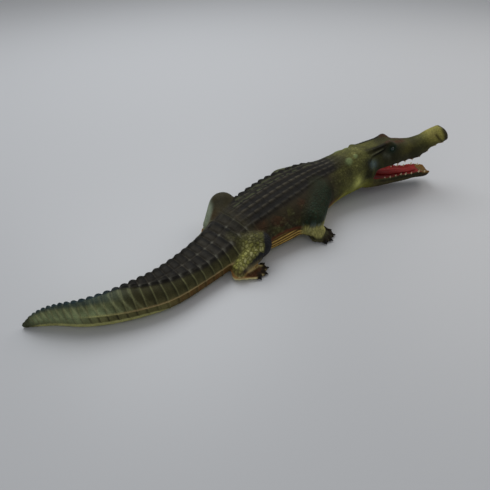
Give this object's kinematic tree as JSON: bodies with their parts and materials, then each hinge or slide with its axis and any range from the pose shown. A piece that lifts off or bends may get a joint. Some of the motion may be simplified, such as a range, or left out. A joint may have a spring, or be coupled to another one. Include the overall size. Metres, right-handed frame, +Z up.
{
  "type": "moulded crocodile figure",
  "caption": "Hand-painted moulded rubber crocodile figure lying on its belly, tail swept aside, head turned and raised with the jaws open.",
  "frame": {"origin": "on the floor under the middle of the trunk, in the flat belly face that the figure rests on", "axes": "+Z up, -Y the way the trunk points with the tail towards +Y, +X the animal's left"},
  "size_m": [0.4008, 1.2799, 0.1946],
  "materials": {
    "head": "semi-gloss paint, olive",
    "lower_jaw": "semi-gloss paint, dark green and ochre",
    "mouth": "red paint",
    "eyes": "glossy dark teal",
    "neck": "semi-gloss paint, olive",
    "trunk": "semi-gloss paint, dark grey-brown over olive",
    "tail": "semi-gloss paint, dark grey-brown over olive green",
    "tail_end": "semi-gloss paint, olive green",
    "limbs": "semi-gloss paint, yellow-green with a dark network",
    "feet": "semi-gloss paint, brown with black claws"
  },
  "bodies": {
    "root": {"head": "head", "lower_jaw": "lower_jaw", "tongue": "mouth", "eye_left": "eyes", "eye_right": "eyes", "neck": "neck", "trunk": "trunk", "pelvis": "trunk", "tail_root": "tail", "tail_middle": "tail", "tail_end": "tail_end", "upper_arm_left": "limbs", "forearm_left": "limbs", "hand_left": "feet", "upper_arm_right": "limbs", "forearm_right": "limbs", "hand_right": "feet", "thigh_left": "limbs", "shank_left": "limbs", "foot_left": "feet", "thigh_right": "limbs", "shank_right": "limbs", "foot_right": "feet"}
  },
  "joints": []
}
